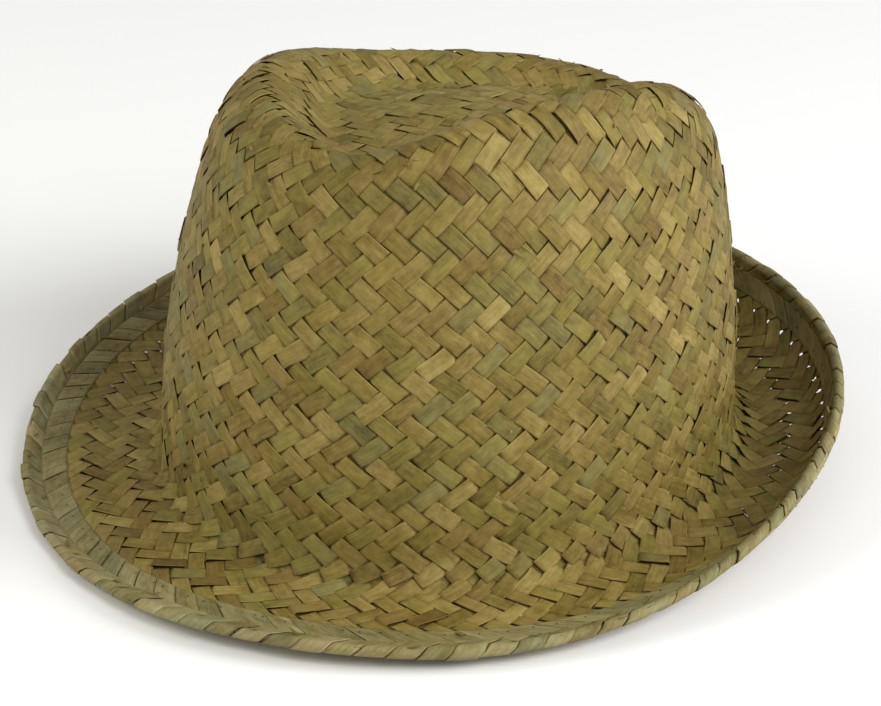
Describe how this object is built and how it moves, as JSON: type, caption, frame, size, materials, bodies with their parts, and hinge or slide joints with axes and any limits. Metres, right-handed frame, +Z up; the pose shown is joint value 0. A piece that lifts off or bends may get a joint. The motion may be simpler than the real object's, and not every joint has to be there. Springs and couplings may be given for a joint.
{
  "type": "straw fedora hat",
  "caption": "Short-brimmed fedora woven from wide straw strips, with a teardrop crown, a brim turned up at the back, and a plaited braid folded round its edge.",
  "frame": {"origin": "on the surface the hat stands on, under the middle of its overall box", "axes": "+Z up, -Y the front of the hat, +X the wearer's left"},
  "size_m": [0.238, 0.2824, 0.1306],
  "materials": {
    "woven_straw": "flat strips of dried grass woven over two and under two, tan and olive, lightly glossy along their fibres",
    "straw_braid": "plaited braid of paler grey-green straw, folded over the edge and sewn through"
  },
  "bodies": {
    "root": {"woven_body": "woven_straw", "edge_braid": "straw_braid"}
  },
  "joints": []
}
